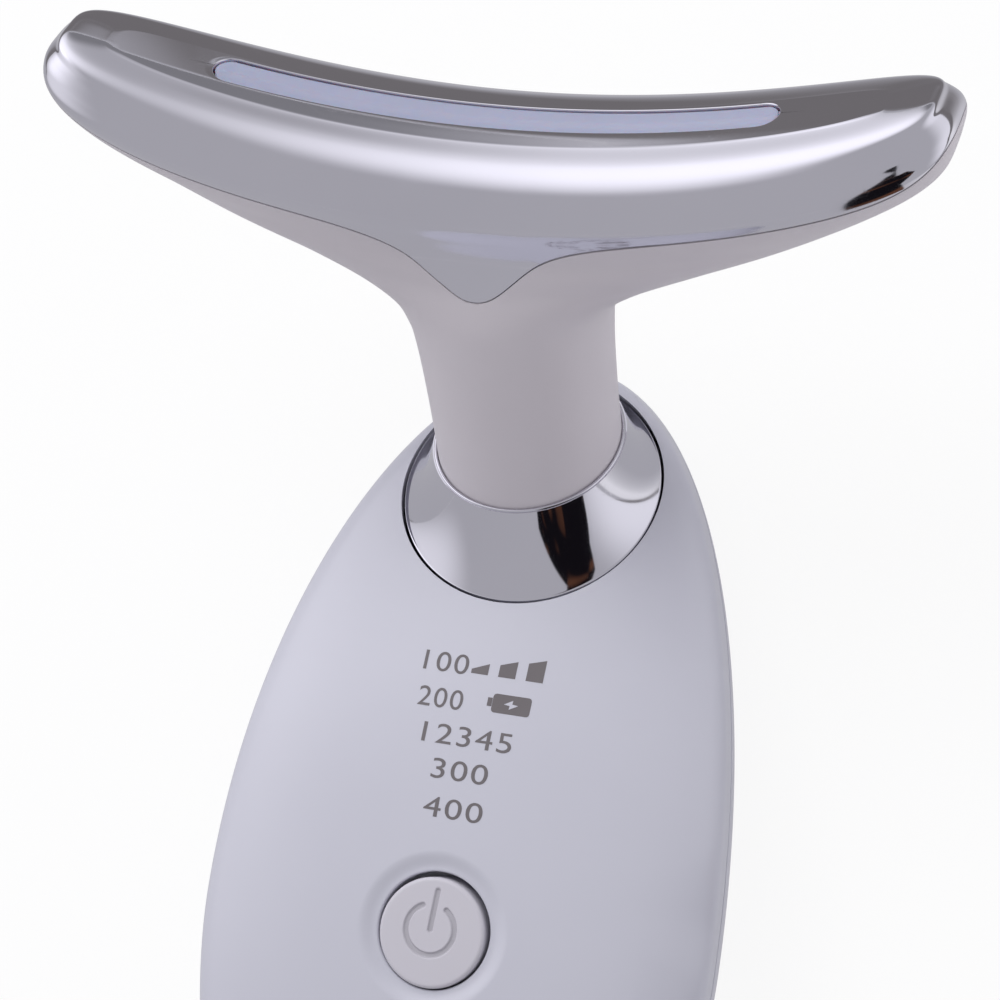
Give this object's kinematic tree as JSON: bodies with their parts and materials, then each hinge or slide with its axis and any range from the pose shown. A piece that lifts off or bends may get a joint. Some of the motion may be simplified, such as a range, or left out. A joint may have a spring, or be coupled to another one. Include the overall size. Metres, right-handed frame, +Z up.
{
  "type": "facial toning device",
  "caption": "Hand-held facial toning device: egg-shaped handle with a push button, dished metal collar, leaning neck and a wide T-shaped head with a metal plate and a light slot.",
  "frame": {"origin": "under the middle of the whole object, on the surface it lies on, back down", "axes": "+X across to the right seen from the front, +Y from the tail towards the head, +Z up out of the front face"},
  "size_m": [0.0944, 0.1452, 0.053],
  "materials": {
    "white_shell": "satin",
    "white_button": "satin",
    "chrome_plating": "polished",
    "warm_white": "satin",
    "frosted_window": "frosted",
    "circuit_board": "matt",
    "lamp_yellow": "gloss",
    "heater_film": "matt",
    "black_plastic": "matt",
    "contact_brass": "plain",
    "wire_red": "matt",
    "steel": "plain",
    "capacitor_tan": "matt",
    "battery_foil": "plain",
    "foam": "matt"
  },
  "bodies": {
    "root": {"front_shell": "white_shell", "back_shell": "white_shell", "collar_ring": "chrome_plating", "collar_bead": "chrome_plating", "neck_shell": "warm_white", "head_plate": "chrome_plating", "light_window": "frosted_window", "head_board": "circuit_board", "treatment_lamps": "lamp_yellow", "heater_film": "heater_film", "thermistor": "black_plastic", "plate_contacts": "contact_brass", "head_wires": "wire_red", "neck_clamp": "steel", "neck_screws": "steel", "switch_body": "black_plastic", "main_board": "circuit_board", "controller_chip": "black_plastic", "power_coil": "black_plastic", "capacitors": "capacitor_tan", "level_lamps": "lamp_yellow", "lamp_baffle": "black_plastic", "board_screws": "steel", "battery": "battery_foil", "battery_pad": "foam", "battery_leads": "wire_red", "charge_port": "steel", "port_board": "circuit_board", "motor_can": "steel", "motor_sleeve": "foam"},
    "button": {"power_button": "white_button"},
    "plunger": {"switch_plunger": "black_plastic"},
    "rotor": {"motor_rotor": "steel"}
  },
  "joints": [
    {"name": "button_push", "type": "slide", "parent": "root", "child": "button", "axis": [0, 0, -1], "range_m": [0, 0.0005], "stiffness_N_per_m": 800},
    {"name": "plunger_push", "type": "slide", "parent": "root", "child": "plunger", "axis": [0, 0, -1], "range_m": [0, 0.0005]},
    {"name": "rotor_spin", "type": "hinge", "parent": "root", "child": "rotor", "pos_m": [0, -0.05064, 0.007], "axis": [1, 0, 0], "continuous": true}
  ],
  "couplings": [
    {"joint": "plunger_push", "follows": "button_push", "ratio": 1}
  ]
}
